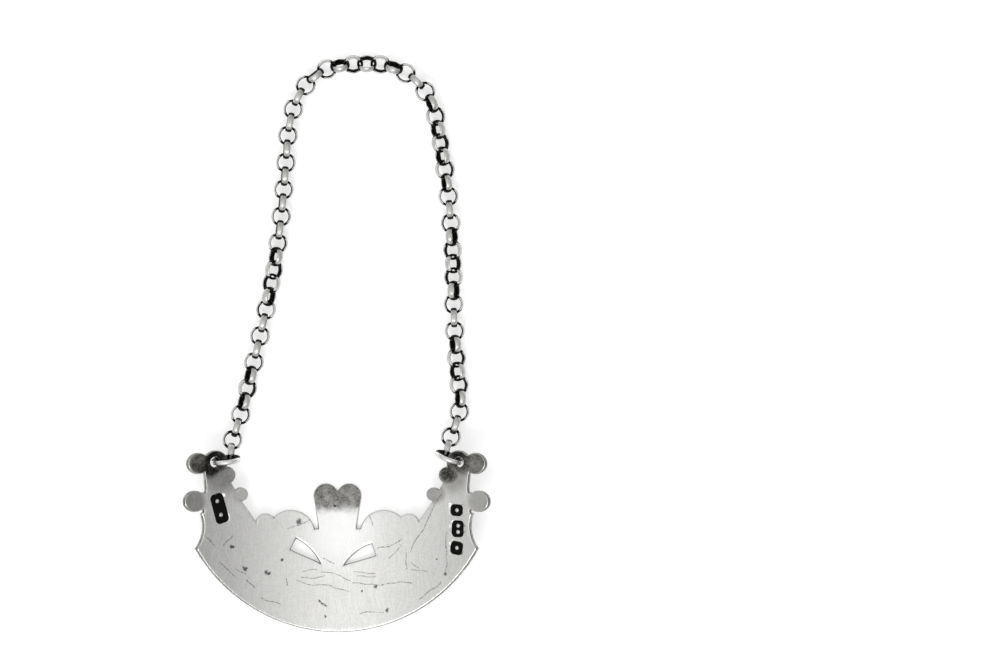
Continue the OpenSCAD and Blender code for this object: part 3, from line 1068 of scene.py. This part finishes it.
class WINE_LABEL_OT_chain(bpy.types.Operator):
    """Make the belcher links of the chain, and join those of its crown"""

    bl_idname = "wine_label.chain"
    bl_label = "Chain"

    def execute(self, context):
        settings = context.scene.wine_label_chain
        middle_radius = (settings.link_outer - settings.wire_thickness) / 2
        master = spun_ring(
            "link_master", middle_radius, settings.wire_thickness, settings.wire_width, LINK_SIDES,
            settings.turns,
        )
        pinch_seam(master, middle_radius, LINK_SEAM)
        mark_wire(master, middle_radius, settings.wire_thickness, hooks=HOOK_PATINA_AND_SHADE)
        finish = wire_wear_and_painted_shade("link_silver_wear_and_painted_shade", settings, settings.silver)
        crown = []
        for number, (node, pose) in enumerate(chain_poses()):
            piece = set_in_place(master, pose, f"{node}_wire", number)
            if node == "chain_crown":
                crown.append(piece)
            else:
                finish_piece(piece, node, finish)
        make_active(crown[0])
        for piece in crown:
            piece.select_set(True)
        bpy.ops.object.join()
        finish_piece(crown[0], "chain_crown", finish)
        bpy.data.objects.remove(master)
        return {"FINISHED"}


class WINE_LABEL_OT_stage(bpy.types.Operator):
    """Make the white table, the soft light and the camera above the label"""

    bl_idname = "wine_label.stage"
    bl_label = "Table, light and camera"

    def execute(self, context):
        settings = context.scene.wine_label_stage
        scene = context.scene
        scene.view_settings.view_transform = "Standard"
        aim = Vector((settings.aim_x, PLATE_FOOT + settings.aim_y, 0))
        bpy.ops.object.select_all(action="DESELECT")
        bpy.ops.mesh.primitive_plane_add(size=TABLE_SIZE, location=(0, 0, -TABLE_DROP))
        table = context.object
        table.name = "table"
        table.data.materials.append(self.white(settings))
        self.light(scene, settings)
        camera = bpy.data.cameras.new("camera")
        camera.lens = settings.lens
        camera.sensor_width = SENSOR_WIDTH
        height = settings.image_width * settings.pixel * settings.lens / SENSOR_WIDTH
        view = bpy.data.objects.new("camera", camera)
        view.location = aim + Vector((0, 0, height))
        scene.collection.objects.link(view)
        scene.camera = view
        return {"FINISHED"}

    def white(self, settings):
        """White table that keeps shadows: the camera and mirrors see it lit up to white."""
        material = bpy.data.materials.new("white_table")
        material.use_nodes = True
        tree = material.node_tree
        shader = tree.nodes["Principled BSDF"]
        shader.inputs["Base Color"].default_value = (*settings.table, 1)
        shader.inputs["Roughness"].default_value = 0.9
        shader.inputs["Specular IOR Level"].default_value = 0.0
        rays = tree.nodes.new("ShaderNodeLightPath").outputs
        seen = calc(tree, "MAXIMUM", rays["Is Camera Ray"], rays["Is Glossy Ray"])
        seen = calc(tree, "MAXIMUM", seen, rays["Is Transmission Ray"])
        tree.links.new(calc(tree, "MULTIPLY", seen, settings.shine), shader.inputs["Emission Color"])
        shader.inputs["Emission Strength"].default_value = 1.0
        return material

    def light(self, scene, settings):
        """A pale room that is brighter overhead and on the left, and a soft box beyond the plate's foot."""
        world = bpy.data.worlds.new("pale_room")
        world.use_nodes = True
        tree = world.node_tree
        tree.nodes.clear()
        direction = split(tree, add_node(tree, "ShaderNodeTexCoord", out="Generated"))
        up = calc(tree, "POWER", calc(tree, "MAXIMUM", direction["Z"], 0.0), ROOM_GATHER)
        tone = calc(tree, "ADD", calc(tree, "MULTIPLY", up, ROOM_OVERHEAD), ROOM_TONE)
        tone = calc(tree, "SUBTRACT", tone, calc(tree, "MULTIPLY", direction["X"], ROOM_LEFT))
        shade = add_node(tree, "ShaderNodeBackground", {"Color": tone, "Strength": 1.0})
        tree.links.new(shade, tree.nodes.new("ShaderNodeOutputWorld").inputs["Surface"])
        scene.world = world
        lamp = bpy.data.lights.new("soft_box", "AREA")
        lamp.shape = "DISK"
        lamp.size = settings.lamp_size
        lamp.energy = settings.lamp_power
        box = bpy.data.objects.new("soft_box", lamp)
        box.location = settings.lamp_place
        box.rotation_euler = (-box.location).to_track_quat("-Z", "Y").to_euler()
        scene.collection.objects.link(box)


class WINE_LABEL_PT_panel(bpy.types.Panel):
    """Lists the steps that dress the label"""

    bl_idname = "WINE_LABEL_PT_panel"
    bl_label = "Wine label"
    bl_space_type = "VIEW_3D"
    bl_region_type = "UI"
    bl_category = "Wine label"

    def draw(self, context):
        for step in STEPS:
            self.layout.operator(step.bl_idname)


STEPS = (WINE_LABEL_OT_stage, WINE_LABEL_OT_plate, WINE_LABEL_OT_rings, WINE_LABEL_OT_chain)
SETTINGS = {
    "wine_label_plate": PlateSettings,
    "wine_label_chain": ChainSettings,
    "wine_label_stage": StageSettings,
}


def register():
    """Adds the settings, the steps and the panel to Blender."""
    for cls in (*SETTINGS.values(), *STEPS, WINE_LABEL_PT_panel):
        bpy.utils.register_class(cls)
    for name, cls in SETTINGS.items():
        setattr(bpy.types.Scene, name, PointerProperty(type=cls))


def unregister():
    """Takes them away again."""
    for name in SETTINGS:
        delattr(bpy.types.Scene, name)
    for cls in reversed((*SETTINGS.values(), *STEPS, WINE_LABEL_PT_panel)):
        bpy.utils.unregister_class(cls)


def main():
    """Dresses the label."""
    register()
    bpy.ops.wine_label.stage()
    bpy.ops.wine_label.plate()
    bpy.ops.wine_label.rings()
    bpy.ops.wine_label.chain()


if __name__ == "__main__":
    main()
